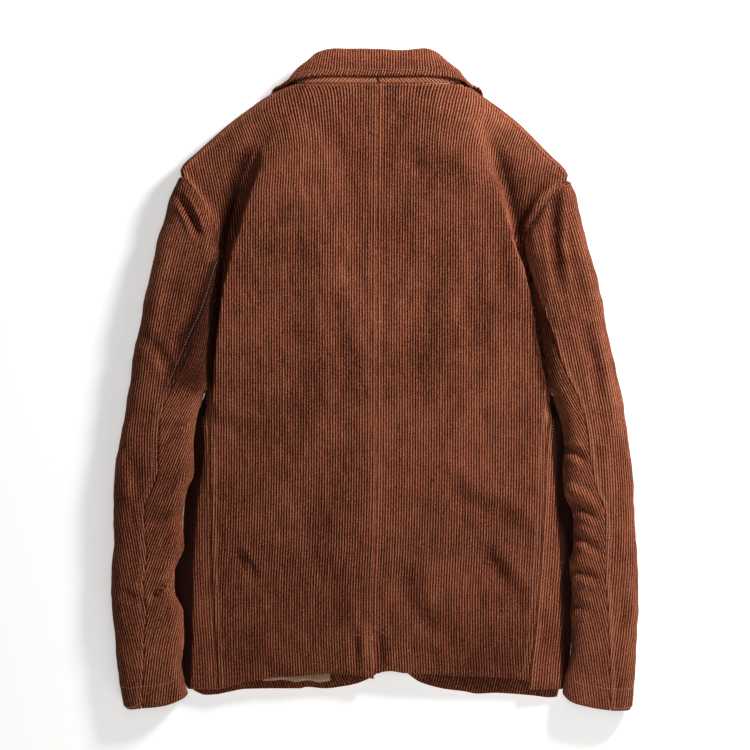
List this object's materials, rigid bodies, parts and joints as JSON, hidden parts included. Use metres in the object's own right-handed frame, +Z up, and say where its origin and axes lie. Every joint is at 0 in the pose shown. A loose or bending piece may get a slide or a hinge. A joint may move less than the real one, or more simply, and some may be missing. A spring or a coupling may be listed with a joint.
{
  "type": "corduroy blazer",
  "caption": "Men's wide-wale corduroy blazer laid flat face down, with a turned-down collar, two-piece sleeves and a centre back vent.",
  "frame": {"origin": "centre of the flat underside, where the jacket rests on the floor", "axes": "+X to the right sleeve as seen from above, +Y towards the collar, +Z up out of the back"},
  "size_m": [0.6222, 0.781, 0.039],
  "materials": {
    "corduroy": "wide-wale cotton corduroy, matt pile",
    "lining": "smooth woven lining"
  },
  "bodies": {
    "root": {"back_left": "corduroy", "back_right": "corduroy", "front_left": "corduroy", "front_right": "corduroy", "sleeve_top_left": "corduroy", "sleeve_under_left": "corduroy", "sleeve_top_right": "corduroy", "sleeve_under_right": "corduroy", "collar_fall": "corduroy", "collar_stand_left": "corduroy", "collar_stand_right": "corduroy", "lapel_left": "corduroy", "lapel_right": "corduroy", "lining": "lining"}
  },
  "joints": []
}
